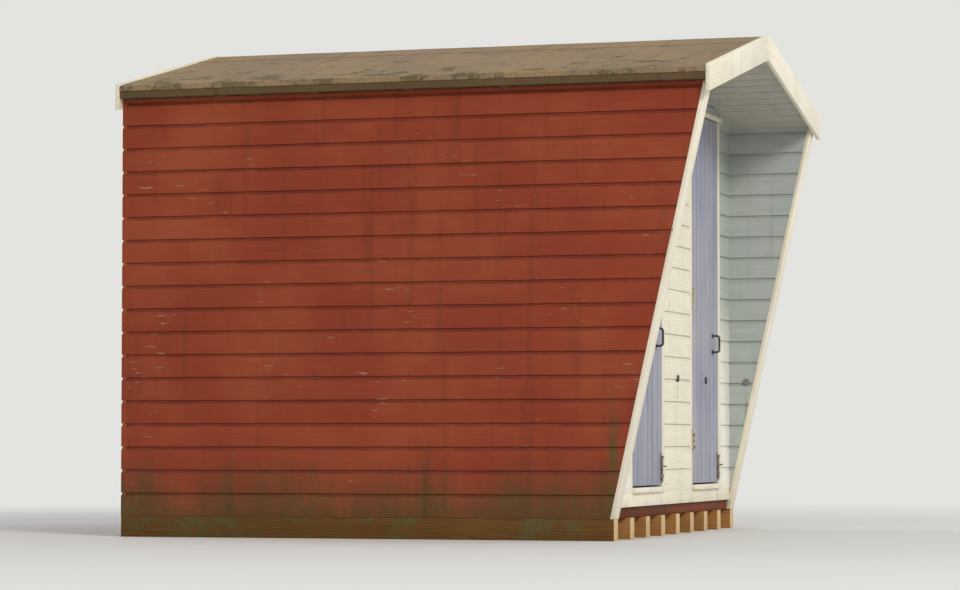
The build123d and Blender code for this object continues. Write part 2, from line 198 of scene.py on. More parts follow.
def buildPaintFilm():
    # old brushed paint: patchy fading, brush streaks along the board, spots worn to the wood,
    # and grime that washes down and holds in the joints
    tree, entry, leave = newGroup("paintFilm", {
        "Paint": (0.5, 0.5, 0.5, 1), "Faded": (0.6, 0.6, 0.6, 1), "Bare": (0.3, 0.25, 0.2, 1),
        "Grime": (0.12, 0.1, 0.07, 1), "Fading": 0.5, "Wear": 0.3, "Dirt": 0.3, "Seams": 0.3,
    }, ("Color", "Roughness", "Height"))
    along, where = grainPlace(tree), objectPlace(tree)
    streak = streaksAt(tree, along, (4, 170, 1), 3.0)
    cloud = noiseAt(tree, where, 1.9, 5.0, 0.6)
    toneShift = times(tree, minus(tree, faceValue(tree, "timberTone"), 0.5), 0.35)
    fading = times(tree, plus(tree, rangeOf(tree, cloud, 0.35, 0.72), toneShift), entry["Fading"])
    film = mixOf(tree, fading, entry["Paint"], entry["Faded"])
    film = shaded(tree, film, rangeOf(tree, streak, 0.3, 0.7, 0.9, 1.05))
    chips = times(tree, streaksAt(tree, along, (9, 60, 1), 5.0, 0.65),
                  rangeOf(tree, noiseAt(tree, where, 3.3, 3.0), 0.3, 0.7, 0.75, 1.15))
    limit = minus(tree, 0.78, times(tree, entry["Wear"], 0.25))
    bare = rangeOf(tree, chips, limit, plus(tree, limit, 0.035))
    worn = mixOf(tree, bare, film, entry["Bare"])
    runs = streaksAt(tree, where, (14, 14, 0.9), 4.0, 0.6)
    grime = times(tree, rangeOf(tree, runs, 0.5, 0.78), entry["Dirt"])
    patchy = rangeOf(tree, noiseAt(tree, where, 6.0, 4.0), 0.3, 0.6, 0.4, 1.2)
    seam = times(tree, times(tree, faceValue(tree, "seam"), patchy), entry["Seams"])
    grime = calc(tree, "MAXIMUM", grime, seam)
    rough = plus(tree, rangeOf(tree, cloud, 0.3, 0.7, 0.46, 0.6), times(tree, bare, 0.25))
    feed(tree, leave, {
        "Color": mixOf(tree, grime, worn, entry["Grime"]),
        "Roughness": plus(tree, rough, times(tree, grime, 0.25)),
        "Height": minus(tree, times(tree, streak, 0.5), times(tree, bare, 0.35)),
    })
    return tree


def buildWoodGrain():
    # sawn or planed softwood: growth lines along the timber, rings on its ends, grey where it has weathered
    tree, entry, leave = newGroup("woodGrain", {
        "Light": (0.6, 0.45, 0.28, 1), "Dark": (0.35, 0.22, 0.12, 1),
        "Weathered": (0.4, 0.38, 0.34, 1), "Weathering": 0.2, "Saw Marks": 0.2,
    }, ("Color", "Roughness", "Height"))
    along, where = grainPlace(tree), objectPlace(tree)
    bend = times(tree, streaksAt(tree, along, (1.6, 9, 1), 2.0), 0.09)
    bend = node(tree, "ShaderNodeCombineXYZ", {1: bend}).outputs[0]
    swirl = node(tree, "ShaderNodeVectorMath", {0: along, 1: bend}, operation="ADD").outputs["Vector"]
    waves = {"Vector": swirl, "Scale": 28.0, "Distortion": 1.2, "Detail": 3.0, "Detail Scale": 0.6}
    lines = node(tree, "ShaderNodeTexWave", waves, bands_direction="Y").outputs["Fac"]
    fibre = streaksAt(tree, along, (14, 900, 1), 2.0)
    streaks = streaksAt(tree, swirl, (1.5, 90, 1), 4.0, 0.6)
    growth = plus(tree, times(tree, calc(tree, "POWER", lines, 2.2), 0.45),
                  times(tree, rangeOf(tree, streaks, 0.35, 0.7), 0.5))
    waves = {"Vector": along, "Scale": 70.0, "Distortion": 2.5, "Detail": 2.0}
    rings = node(tree, "ShaderNodeTexWave", waves, wave_type="RINGS", rings_direction="Z").outputs["Fac"]
    figure = mixOf(tree, faceValue(tree, "endGrain"), growth, rings)
    wood = mixOf(tree, figure, entry["Light"], entry["Dark"])
    wood = shaded(tree, wood, rangeOf(tree, faceValue(tree, "timberTone"), 0.0, 1.0, 0.9, 1.07))
    grey = rangeOf(tree, noiseAt(tree, where, 2.6, 5.0, 0.6), 0.35, 0.65, 0.3, 1.0)
    sawn = streaksAt(tree, along, (260, 6, 1), 2.0)
    relief = plus(tree, times(tree, lines, 0.5), times(tree, fibre, 0.25))
    feed(tree, leave, {
        "Color": stained(tree, wood, grey, entry["Weathering"], entry["Weathered"]),
        "Roughness": rangeOf(tree, lines, 0.3, 0.7, 0.62, 0.85),
        "Height": plus(tree, relief, times(tree, sawn, entry["Saw Marks"])),
    })
    return tree


def buildDampFoot():
    # a ragged tide mark that fades out at a height above the ground
    inputs = {"Level": 0.5, "Reach": 0.3, "Raggedness": 0.2}
    tree, entry, leave = newGroup("dampFoot", inputs, ["Mask"])
    where = objectPlace(tree)
    ragged = plus(tree, streaksAt(tree, where, (5, 5, 1.2), 5.0, 0.65),
                  times(tree, noiseAt(tree, where, 38.0, 3.0), 0.35))
    ragged = times(tree, minus(tree, ragged, 0.67), entry["Raggedness"])
    edge = plus(tree, axesOf(tree, where)["Z"], times(tree, ragged, 2.0))
    low = minus(tree, entry["Level"], entry["Reach"])
    feed(tree, leave, {"Mask": rangeOf(tree, edge, entry["Level"], low)})
    return tree


def buildMossCover():
    # cushions of moss with algae between them
    inputs = {"Amount": 0.4, "Scale": 6.0, "Moss": "#4b461d", "Algae": "#625631"}
    tree, entry, leave = newGroup("mossCover", inputs, ("Mask", "Color", "Height"))
    where = objectPlace(tree)
    patch = noiseAt(tree, where, entry["Scale"], 5.0, 0.62)
    cushions = noiseAt(tree, where, 46.0, 4.0, 0.6)
    tufts = noiseAt(tree, where, 210.0, 3.0, 0.7)
    limit = minus(tree, 0.76, times(tree, entry["Amount"], 0.4))
    spot = plus(tree, patch, times(tree, minus(tree, cushions, 0.5), 0.45))
    spot = plus(tree, spot, times(tree, minus(tree, tufts, 0.5), 0.3))
    mask = rangeOf(tree, spot, limit, plus(tree, limit, 0.10))
    color = mixOf(tree, rangeOf(tree, tufts, 0.35, 0.65), entry["Algae"], entry["Moss"])
    feed(tree, leave, {"Mask": mask, "Color": color, "Height": times(tree, mask, tufts)})
    return tree


def buildNailWeep():
    # rust that runs down from the nails, which stand in rows along a wall and one to each board
    tree, entry, leave = newGroup("nailWeep", {
        "Along": 0.0, "Up": 0.0, "First Row": 0.0, "Row Spacing": 0.45,
        "First Nail": 0.0, "Board Cover": 0.11, "Length": 0.05,
    }, ["Mask"])
    rowAt = calc(tree, "DIVIDE", minus(tree, entry["Along"], entry["First Row"]), entry["Row Spacing"])
    nailAt = calc(tree, "DIVIDE", minus(tree, entry["Up"], entry["First Nail"]), entry["Board Cover"])
    row = calc(tree, "ROUND", rowAt)
    nail = calc(tree, "CEIL", nailAt)
    aside = times(tree, calc(tree, "ABSOLUTE", minus(tree, rowAt, row)), entry["Row Spacing"])
    below = times(tree, minus(tree, nail, nailAt), entry["Board Cover"])
    cell = node(tree, "ShaderNodeCombineXYZ", {0: row, 1: nail}).outputs[0]
    luck = node(tree, "ShaderNodeTexWhiteNoise", {0: cell}, noise_dimensions="2D").outputs["Value"]
    width = times(tree, streaksAt(tree, objectPlace(tree), (160, 160, 30), 3.0), 0.007)
    across = rangeOf(tree, aside, width, times(tree, width, 0.2))
    run = times(tree, entry["Length"], luck)
    down = rangeOf(tree, below, run, times(tree, run, 0.1))
    streak = times(tree, times(tree, across, down), rangeOf(tree, luck, 0.35, 0.9))
    feed(tree, leave, {"Mask": streak})
    return tree


def buildRunStain():
    # one ragged stain that runs straight down a wall from a leak, a bolt or a handle
    inputs = {"Along": 0.0, "Up": 0.0, "Middle": 0.0, "Width": 0.01, "Top": 0.5, "Foot": 0.2}
    tree, entry, leave = newGroup("runStain", inputs, ["Mask"])
    where = objectPlace(tree)
    top, foot, width = entry["Top"], entry["Foot"], entry["Width"]
    sway = minus(tree, streaksAt(tree, where, (3, 3, 9), 3.0), 0.5)
    aside = minus(tree, minus(tree, entry["Along"], entry["Middle"]), times(tree, sway, width))
    ragged = streaksAt(tree, where, (60, 60, 14), 4.0, 0.65)
    reach = times(tree, width, rangeOf(tree, ragged, 0.3, 0.7, 0.5, 1.5))
    across = rangeOf(tree, calc(tree, "ABSOLUTE", aside), reach, 0.0)
    reachDown = times(tree, minus(tree, top, foot), 0.55)
    below = rangeOf(tree, entry["Up"], top, minus(tree, top, reachDown))
    above = rangeOf(tree, entry["Up"], foot, plus(tree, foot, width))
    patchy = rangeOf(tree, streaksAt(tree, where, (40, 40, 9), 5.0, 0.7), 0.3, 0.62, 0.35, 1.0)
    mask = times(tree, times(tree, across, patchy), times(tree, below, above))
    feed(tree, leave, {"Mask": mask})
    return tree


paintFilm = buildPaintFilm()
woodGrain = buildWoodGrain()
dampFoot = buildDampFoot()
mossCover = buildMossCover()
nailWeep = buildNailWeep()
runStain = buildRunStain()


# Materials

def newMaterial(name):
    material = bpy.data.materials.new(name)
    material.use_nodes = True
    tree = material.node_tree
    return material, tree, tree.nodes["Principled BSDF"]


def finishSurface(tree, surface, color, rough, height, depth, shine=0.5):
    relief = {"Height": height, "Distance": depth, "Strength": 1.0}
    normal = node(tree, "ShaderNodeBump", relief).outputs["Normal"]
    look = {"Base Color": color, "Roughness": rough, "Specular IOR Level": shine, "Normal": normal}
    feed(tree, surface.inputs, look)


def socketsOf(look):
    # the rows of a look that start with a capital go to the sockets of its effect
    return {key: value for key, value in look.items() if key[0].isupper()}


boardRows = {"cover": 0.110, "nailAbove": 0.026}
nailRust = {"length": 0.075, "strength": 0.7, "color": "#3d2114"}
rowStarts = {"Y": (frontFrame + halfStud, 0.470), "X": (0.0, 0.3873)}  # first row of nails and row spacing

# Each paint: the film, what it fades to, the wood under it, how patchy, worn and dirty it is. Then
#   weep: the direction that its rows of nails are counted along
#   foot: level, reach, strength and colour of the damp, with the amount of moss in it
#   runs: direction, middle, width, top, foot, colour and strength of each stain
#   above: the heights between which it turns to another colour, a painted shadow over the upper part
brickRed = {
    "Paint": "#8a3316", "Faded": "#9d4a28", "Bare": "#9a7757", "Grime": "#3a1c0e",
    "Fading": 0.7, "Wear": 0.36, "Seams": 0.4,
}
paleBlue = {"Bare": "#80786a", "Grime": "#5c5a4c", "Fading": 0.7, "Wear": 0.26}
ivory = {
    "Bare": "#9a8a70", "Fading": 0.65, "Wear": 0.24, "Seams": 0.12,
    "foot": (0.3, 0.26, 0.35, "#a3a283"), "moss": 0.25,
}
paints = {
    "redPaint": {
        **brickRed, "Dirt": 0.27, "weep": "Y", "foot": (0.42, 0.36, 0.78, "#4b4020"), "moss": 0.5,
        "runs": [
            ("Y", frontFrame - 0.015, 0.045, 0.80, 0.05, "#54481f", 0.9),
            ("Y", -0.31, 0.022, 0.52, 0.05, "#463a1b", 0.55),
            ("Y", 0.66, 0.030, 0.44, 0.05, "#463a1b", 0.6),
        ],
    },
    "rearPaint": {
        **brickRed, "Dirt": 0.32, "weep": "X", "foot": (0.46, 0.36, 0.80, "#4b4020"), "moss": 0.58,
        "runs": [
            ("X", -0.72, 0.030, 0.62, 0.05, "#463a1b", 0.6),
            ("X", 0.35, 0.024, 0.5, 0.05, "#463a1b", 0.55),
        ],
    },
    "whitePaint": {
        "Paint": "#efe7d3", "Faded": "#e0d6bd", "Bare": "#8d7f68", "Grime": "#6b5a40",
        "Fading": 0.7, "Wear": 0.34, "Dirt": 0.15, "Seams": 0.0,
        "foot": (0.22, 0.2, 0.35, "#8f8357"), "moss": 0.3,
        "runs": [("X", middle, 0.009, 0.262, 0.10, "#53301b", 0.8) for middle in (-0.343, 0.847)],
    },
    "paleBluePaint": {
        **paleBlue, "Paint": "#abb3af", "Faded": "#babdb6", "Dirt": 0.26, "Seams": 0.2,
        "foot": (0.34, 0.3, 0.4, "#757859"), "moss": 0.35,
        "runs": [("Y", frontFrame - 0.11, 0.010, 0.75, 0.55, "#6b4a33", 0.5)],
    },
    # the lining's pale blue made warmer for the soffit: painted warm bounce light from below
    "soffitPaintWithBounceLight": {**paleBlue, "Paint": "#b7b4a9", "Faded": "#c1bdb0", "Dirt": 0.3, "Seams": 0.25},
    "ivoryPaint": {
        **ivory, "Paint": "#ece5cf", "Faded": "#e2dac6", "Grime": "#7a6a4e", "Dirt": 0.17,
        "runs": [
            ("X", 0.0, 0.008, 0.752, 0.66, "#5f4330", 0.8),
            ("X", 0.02, 0.005, 0.752, 0.70, "#5f4330", 0.5),
        ],
    },
    "stripPaint": {
        **ivory, "Paint": "#efebdd", "Faded": "#e3dfd0", "Grime": "#7a6f5a", "Dirt": 0.2,
        # painted shadow: the wing's and roof's shadow on the upper strips, as a grey-blue from 0.85 m up
        "above": (0.85, 1.25, "#b4bbb3"),
    },
    "doorPaint": {
        "Paint": "#9294a6", "Faded": "#abaab0", "Bare": "#7d7468", "Grime": "#565262",
        "Fading": 0.7, "Wear": 0.27, "Dirt": 0.26, "Seams": 0.32,
        "foot": (0.42, 0.3, 0.3, "#7c7d78"), "moss": 0.2,
        "runs": [("X", middle, 0.008, 0.75, 0.60, "#5b4b48", 0.55) for middle in (-0.595, 0.595)],
    },
    "beamPaint": {
        "Paint": "#56290c", "Faded": "#853c18", "Bare": "#7a5c3c", "Grime": "#1c0f08",
        "Fading": 0.8, "Wear": 0.5, "Dirt": 0.6, "Seams": 0.0, "shine": 0.08,
    },
    "eavesPaint": {
        "Paint": "#5c452b", "Faded": "#6b5534", "Bare": "#5f5443", "Grime": "#2b2414",
        "Fading": 0.6, "Wear": 0.4, "Dirt": 0.5, "Seams": 0.0, "mossAll": 0.55,
    },
}


def paintedMaterial(name, look):
    material, tree, surface = newMaterial(name)
    parts = axesOf(tree, objectPlace(tree))
    values = socketsOf(look)
    # painted shadow: above a given height the paint turns to a greyer colour
    if "above" in look:
        low, high, paintedShadow = look["above"]
        share = rangeOf(tree, parts["Z"], low, high)
        for key in ("Paint", "Faded"):
            values[key] = mixOf(tree, share, values[key], paintedShadow)
    film = useGroup(tree, paintFilm, values)
    color, rough = film["Color"], film["Roughness"]
    if "weep" in look:
        first, spacing = rowStarts[look["weep"]]
        rust = useGroup(tree, nailWeep, {
            "Along": parts[look["weep"]], "Up": parts["Z"], "First Row": first, "Row Spacing": spacing,
            "First Nail": boardsFoot + boardRows["nailAbove"], "Board Cover": boardRows["cover"],
            "Length": nailRust["length"],
        })["Mask"]
        color = stained(tree, color, rust, nailRust["strength"], nailRust["color"])
    if "foot" in look:
        level, reach, strength, dampColor = look["foot"]
        dampAndSideShade = useGroup(tree, dampFoot, {"Level": level, "Reach": reach, "Raggedness": 0.26})["Mask"]
        color = stained(tree, color, dampAndSideShade, strength, dampColor)
        moss = useGroup(tree, mossCover, {"Amount": look["moss"], "Scale": 9.0})
        grown = times(tree, moss["Mask"], rangeOf(tree, dampAndSideShade, 0.5, 1.0))
        color = stained(tree, color, grown, 0.6, moss["Color"])
        rough = plus(tree, rough, times(tree, dampAndSideShade, 0.25))
    if "mossAll" in look:
        moss = useGroup(tree, mossCover, {"Amount": look["mossAll"], "Scale": 8.0})
        color = stained(tree, color, moss["Mask"], 0.7, moss["Color"])
    for axis, middle, width, top, foot, runColor, strength in look.get("runs", []):
        spot = {"Along": parts[axis], "Up": parts["Z"], "Middle": middle, "Width": width}
        run = useGroup(tree, runStain, {**spot, "Top": top, "Foot": foot})["Mask"]
        color = stained(tree, color, run, strength, runColor)
    finishSurface(tree, surface, color, rough, film["Height"], 0.0012, look.get("shine", 0.3))
    return material


# Bare timbers: light and dark growth lines, the grey they weather to, and how rough they were sawn
timbers = {
    "groundTimber": {
        "Light": "#e9cc9e", "Dark": "#ba9562", "Weathered": "#b8a37d", "Weathering": 0.3, "Saw Marks": 0.5,
        "moss": 0.56,
    },
    "floorTimber": {
        "Light": "#bd9a6c", "Dark": "#8e6c43", "Weathered": "#97876c", "Weathering": 0.45, "Saw Marks": 0.1,
    },
    "frameTimber": {
        "Light": "#cdb083", "Dark": "#a27f50", "Weathered": "#a08c69", "Weathering": 0.25, "Saw Marks": 0.2,
    },
}


def timberMaterial(name, look):
    material, tree, surface = newMaterial(name)
    wood = useGroup(tree, woodGrain, socketsOf(look))
    color = wood["Color"]
    if "moss" in look:
        # painted shade on the sides, which leaves the ends paler, and most of the moss on the outermost
        # timbers
        moss = useGroup(tree, mossCover, {"Amount": look["moss"], "Scale": 7.0})
        sawnSides = rangeOf(tree, faceValue(tree, "endGrain"), 0.0, 1.0, 1.0, 0.0)
        where = objectPlace(tree)
        # painted shade: a darker tan, varied by noise, multiplied over the long sides
        dampAndSideShade = mixOf(tree, noiseAt(tree, where, 5.0), "#b08c64", "#d6b282")
        color = mixOf(tree, sawnSides, color, dampAndSideShade, "MULTIPLY")
        across = calc(tree, "ABSOLUTE", axesOf(tree, where)["X"])
        outermost = times(tree, rangeOf(tree, across, frameOuter - 0.03, frameOuter), sawnSides)
        color = mixOf(tree, outermost, color, "#a19c6c", "MULTIPLY")
        grown = rangeOf(tree, outermost, 0.0, 1.0, 0.15, 0.85)
        color = stained(tree, color, moss["Mask"], grown, moss["Color"])
    finishSurface(tree, surface, color, wood["Roughness"], wood["Height"], 0.0014, 0.3)
    return material


# One sheet of felt down each slope and a capping strip over the ridge
feltLay = {
    "sheet": 0.0026, "cap": 0.0018, "capReach": 0.27, "waves": 0.0009,
    "nailPitch": 0.058, "rows": 60, "steps": 14,
}


def feltMaterial():
    # mineral felt: stone granules pressed into bitumen, bald patches, soft moss and rain runs down the slope
    material, tree, surface = newMaterial("roofFelt")
    where = objectPlace(tree)
    granules = node(tree, "ShaderNodeTexVoronoi", {"Vector": where, "Scale": 420.0}).outputs
    speck = node(tree, "ShaderNodeSeparateColor", {0: granules["Color"]}).outputs["Red"]
    stone = mixOf(tree, speck, "#7d6444", "#a88f68")
    cloud = noiseAt(tree, where, 2.2, 5.0, 0.62)
    stone = mixOf(tree, rangeOf(tree, cloud, 0.38, 0.66, 0.0, 0.75), stone, "#85705a")
    runs = streaksAt(tree, where, (0.9, 16, 0.9), 4.0, 0.6)
    stone = mixOf(tree, rangeOf(tree, runs, 0.5, 0.75, 0.0, 0.45), stone, "#5f5138")
    bald = rangeOf(tree, noiseAt(tree, where, 7.0, 6.0, 0.7), 0.62, 0.68, 0.0, 0.6)
    stone = mixOf(tree, bald, stone, "#3d352a")
    fromRidge = calc(tree, "ABSOLUTE", axesOf(tree, where)["X"])
    amount = rangeOf(tree, fromRidge, 0.5, halfWidth, 0.32, 0.6)
    capEdge = calc(tree, "ABSOLUTE", minus(tree, fromRidge, feltLay["capReach"] + 0.015))
    amount = plus(tree, amount, rangeOf(tree, capEdge, 0.0, 0.05, 0.16, 0.0))
    moss = useGroup(tree, mossCover, {"Amount": amount, "Scale": 7.5, "Moss": "#565228"})
    color = stained(tree, stone, moss["Mask"], 0.7, moss["Color"])
    relief = plus(tree, times(tree, granules["Distance"], 0.35), times(tree, moss["Height"], 2.0))
    finishSurface(tree, surface, color, 0.9, relief, 0.0022)
    return material


# Iron: the colour of its film, how much rust comes through, and how rough the film is
irons = {
    "blackIron": ("#222124", 0.35, 0.45), "hingeSteel": ("#b9b3a0", 0.6, 0.5),
    "zincNails": ("#8f8f88", 0.75, 0.55), "boltSteel": ("#85847d", 0.55, 0.5),
    "paintedIron": ("#74787a", 0.4, 0.6),
}


def ironMaterial(name, paint, rustAmount, roughness):
    material, tree, surface = newMaterial(name)
    where = objectPlace(tree)
    blisters = noiseAt(tree, where, 85.0, 5.0, 0.65)
    rust = rangeOf(tree, blisters, 0.66 - rustAmount * 0.22, 0.7 - rustAmount * 0.2)
    rustColor = mixOf(tree, noiseAt(tree, where, 320.0, 2.0), "#4a2413", "#8a4a20")
    dust = rangeOf(tree, noiseAt(tree, where, 28.0, 4.0), 0.4, 0.7, 0.0, 0.25)
    film = mixOf(tree, dust, paint, "#8a8272")
    color = mixOf(tree, rust, film, rustColor)
    rough = rangeOf(tree, rust, 0.0, 1.0, roughness, 0.85)
    finishSurface(tree, surface, color, rough, plus(tree, rust, times(tree, blisters, 0.5)), 0.0004)
    return material


materials = {name: paintedMaterial(name, look) for name, look in paints.items()}
materials.update({name: timberMaterial(name, look) for name, look in timbers.items()})
materials["roofFelt"] = feltMaterial()
materials.update({name: ironMaterial(name, *look) for name, look in irons.items()})
print("materials built:", len(materials))


# Timbers and boards

def addObject(name, data):
    made = bpy.data.objects.new(name, data)
    bpy.context.scene.collection.objects.link(made)
    return made


# No two timbers lie level along this direction, so it gives them one order
sortAxis = Vector((0.917, 1.411, 3.307))


def islandsOf(bm):
    # the faces of each timber, sorted by place, since cuts leave them in an order that changes
    # from run to run. Timbers that only share an edge count as two
    seen = set()
    islands = []
    for start in bm.faces:
        if start in seen:
            continue
        seen.add(start)
        island, stack = [], [start]
        while stack:
            face = stack.pop()
            island.append(face)
            for edge in face.edges:
                if len(edge.link_faces) != 2:
                    continue
                for other in edge.link_faces:
                    if other not in seen:
                        seen.add(other)
                        stack.append(other)
        middle = sum((face.calc_center_median() for face in island), Vector()) / len(island)
        islands.append((middle.dot(sortAxis), island))
    return [island for _, island in sorted(islands, key=lambda item: item[0])]


def markTimbers(bm, seed):
    # each timber gets a tone of its own, and a map that runs along its grain
    chance = random.Random(seed)
    tone = bm.faces.layers.float.new("timberTone")
    endGrain = bm.faces.layers.float.new("endGrain")
    grain = bm.loops.layers.uv.new("grain")
    for island in islandsOf(bm):
        longest = max((edge for face in island for edge in face.edges), key=lambda edge: edge.calc_length())
        axis = (longest.verts[1].co - longest.verts[0].co).normalized()
        if axis.dot(sortAxis) < 0:
            axis.negate()
        islandTone = chance.random()
        shift = Vector((chance.uniform(0, 30), chance.uniform(0, 30)))
        for face in island:
            face[tone] = islandTone
            across = face.normal.cross(axis)
            isEnd = across.length < 0.4
            face[endGrain] = float(isEnd)
            first = axis.orthogonal().normalized() if isEnd else axis
            second = axis.cross(first) if isEnd else across.normalized()
            for loop in face.loops:
                place = loop.vert.co
                loop[grain].uv = Vector((place.dot(first), place.dot(second))) + shift


def finishPiece(name, bm, finish, body="hut", replaced=None, smooth=32, outward=None, bareInside=False):
    markTimbers(bm, name)
    if outward:
        # dirt holds on the sloping faces of the joints, and the backs of wall boards have no paint
        seam = bm.faces.layers.float.new("seam")
        for face in bm.faces:
            facing = face.normal.dot(outward)
            face[seam] = float(0.02 < facing < 0.97)
            face.material_index = int(bareInside and facing < -0.9)
    mesh = bpy.data.meshes.new(name)
    bm.to_mesh(mesh)
    bm.free()
    mesh.materials.append(materials[finish])
    if bareInside:
        mesh.materials.append(materials["frameTimber"])
    mesh.polygons.foreach_set("use_smooth", [True] * len(mesh.polygons))
    mesh.set_sharp_from_angle(angle=radians(smooth))
    piece = addObject(name, mesh)
    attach(piece, body)
    if replaced:
        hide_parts(replaced)
    return piece


def wallFrame(along, across, outward, origin):
    # turns a board's own directions into the hut's
    turn = Matrix((Vector(along), Vector(across), Vector(outward))).transposed().to_4x4()
    turn.translation = Vector(origin)
    return turn


# "lap" is the share of a board's depth that meets the next board, to keep light out of the joint,
# and "jointShare" the share of rows that have two boards, which meet on a stud
boardShapes = {
    "scoop": 0.007, "scoopHeight": 0.017, "arris": 0.0014, "vee": 0.0045, "gap": 0.0008, "lap": 0.4,
    "uneven": 0.0004, "jointShare": 0.18, "jointGap": 0.0012,
}


def boardProfile(kind, cover, depth):
    # outline across a board: how far up it, and how far out of the wall
    shape = boardShapes
    lap = depth * shape["lap"]
    if kind == "shiplap":
        scoop, height, arris, top = shape["scoop"], shape["scoopHeight"], shape["arris"], cover - shape["gap"]
        return [
            (0, 0), (cover, 0), (cover, lap), (top, lap), (top, depth - scoop),
            (cover - height * 0.35, depth - scoop * 0.86), (cover - height * 0.7, depth - scoop * 0.38),
            (cover - height, depth), (arris, depth), (0, depth - arris),
        ]
    edge = shape["vee"] if kind == "matchboard" else shape["arris"]
    top = cover - (shape["gap"] if kind == "matchboard" else shape["gap"] * 2.5)
    return [
        (0, 0), (cover, 0), (cover, lap), (top, lap),
        (top, depth - edge), (top - edge, depth), (edge, depth), (0, depth - edge),
    ]


def addBoard(bm, place, span, level, cover, depth, kind, chance):
    lift = chance.uniform(-boardShapes["uneven"], 0.0)
    corners = []
    for rise, out in boardProfile(kind, cover, depth):
        corner = Vector((span[0], level + rise, out + lift if out else 0))
        corners.append(bm.verts.new(place @ corner))
    grown = bmesh.ops.extrude_face_region(bm, geom=[bm.faces.new(corners)])
    tips = [item for item in grown["geom"] if isinstance(item, bmesh.types.BMVert)]
    bmesh.ops.translate(bm, vec=place.to_3x3() @ Vector((span[1] - span[0], 0, 0)), verts=tips)


def cutAway(bm, point, normal):
    # takes off what lies past a plane and closes the cut ends
    everything = bm.verts[:] + bm.edges[:] + bm.faces[:]
    bmesh.ops.bisect_plane(bm, geom=everything, dist=1e-6, plane_co=point, plane_no=normal, clear_outer=True)
    rim = [edge for edge in bm.edges if edge.is_boundary]
    if rim:
        bmesh.ops.holes_fill(bm, edges=rim, sides=0)


def layBoards(place, span, rise, depth, kind, seed, cover=boardRows["cover"], first=boardsFoot, cuts=(),
              joints=()):
    # rows of boards between two levels, with their ends cut to the wall's outline
    chance = random.Random(seed)
    bm = bmesh.new()
    for row in range(floor((rise[0] - first) / cover + 1e-4), ceil((rise[1] - first) / cover - 1e-4)):
        ends = [span[0], span[1]]
        if joints and chance.random() < boardShapes["jointShare"]:
            joint, half = chance.choice(joints), boardShapes["jointGap"] / 2
            ends[1:1] = [joint - half, joint + half]
        for start, end in zip(ends[::2], ends[1::2]):
            addBoard(bm, place, (start, end), first + row * cover, cover, depth, kind, chance)
    turn = place.to_3x3()
    cutAway(bm, place @ Vector((0, rise[0], 0)), turn @ Vector((0, -1, 0)))
    cutAway(bm, place @ Vector((0, rise[1], 0)), turn @ Vector((0, 1, 0)))
    for point, normal in cuts:
        cutAway(bm, point, normal)
    bmesh.ops.recalc_face_normals(bm, faces=bm.faces[:])
    return bm


pastCut = 0.010  # how far boards run over a line before they are cut to it
wingRun = Vector((0, sideLow.y - frontFrame, eaves - boardsFoot))
wingCut = (Vector((0, frontFrame, boardsFoot)), Vector((0, -wingRun.z, wingRun.y)).normalized())
sideStuds = spread(frontFrame + halfStud, rearFrame - halfStud, 6)


def roofCuts(point):
    # the two slopes of the roof, each through a point that is given for the right side
    return [(Vector((sign * point[0], 0, point[1])), Vector((sign * slope, 0, 1)).normalized())
            for sign in sides.values()]


# Side walls, with their boards cut to the slope of the wing
for side, sign in sides.items():
    place = wallFrame((0, 1, 0), up, (sign, 0, 0), (sign * frameOuter, 0, 0))
    bm = layBoards(place, (sideLow.y - pastCut, rearFrame), (boardsFoot, eaves), halfWidth - frameOuter,
                   "shiplap", side, cuts=[wingCut], joints=sideStuds[1:-1])
    finishPiece(f"sideBoards_{side}", bm, "redPaint", replaced=f"side_cladding_{side}",
                outward=(sign, 0, 0), bareInside=True)

# Rear wall up to the roof boards
place = wallFrame((1, 0, 0), up, (0, 1, 0), (0, rearFrame, 0))
bm = layBoards(place, (-halfWidth, halfWidth), (rearLow.z, rearHigh.z), rearFace - rearFrame, "shiplap",
               "rear", cuts=roofCuts((0, rearHigh.z)))
finishPiece("rearBoards", bm, "rearPaint", replaced="rear_cladding", outward=(0, 1, 0), bareInside=True)

# Front panels, and the gable over the doors
frontWalls = {
    # seed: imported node, piece and finish
    "left": ("front_cladding_left", "frontBoards_left", "stripPaint"),
    "middle": ("front_cladding_middle", "frontBoards_middle", "ivoryPaint"),
    "right": ("front_cladding_right", "frontBoards_right", "stripPaint"),
    "gable": ("front_gable", "gableBoards", "paleBluePaint"),
}
place = wallFrame((1, 0, 0), up, (0, -1, 0), (0, frontFrame, 0))
for seed, (packed, name, finish) in frontWalls.items():
    low, high = boxOf(packed)
    bm = layBoards(place, (low.x, high.x), (low.z, high.z), frontFrame - frontFace, "shiplap", seed,
                   cuts=roofCuts((halfWidth, eaves)))
    finishPiece(name, bm, finish, replaced=packed, outward=(0, -1, 0), bareInside=True)

# Linings inside the wings
wingParts = bmesh.new()
for side, sign in sides.items():
    place = wallFrame((0, 1, 0), up, (-sign, 0, 0), (sign * frameInner, 0, 0))
    rise, depth = (liningLow.z, liningHigh.z), frameInner - liningInner
    # the boards, and a fillet that closes the corner behind the front wall's ends
    boards = layBoards(place, (liningLow.y - pastCut, frontFace), rise, depth, "shiplap", "lining" + side,
                       cuts=[wingCut])
    fillet = layBoards(place, (frontFace, frontFrame), rise, depth, "deck", "fillet" + side,
                       cover=rise[1] - rise[0], first=rise[0], cuts=[wingCut])
    for bm in (boards, fillet):
        part = bpy.data.meshes.new("liningPart")
        bm.to_mesh(part)
        bm.free()
        wingParts.from_mesh(part)
        bpy.data.meshes.remove(part)
seam = wingParts.faces.layers.float.new("seam")
for face in wingParts.faces:
    face.material_index = int(face.normal.y > 0.9)
    inward = -1 if face.calc_center_median().x > 0 else 1
    face[seam] = float(0.02 < face.normal.x * inward < 0.97)
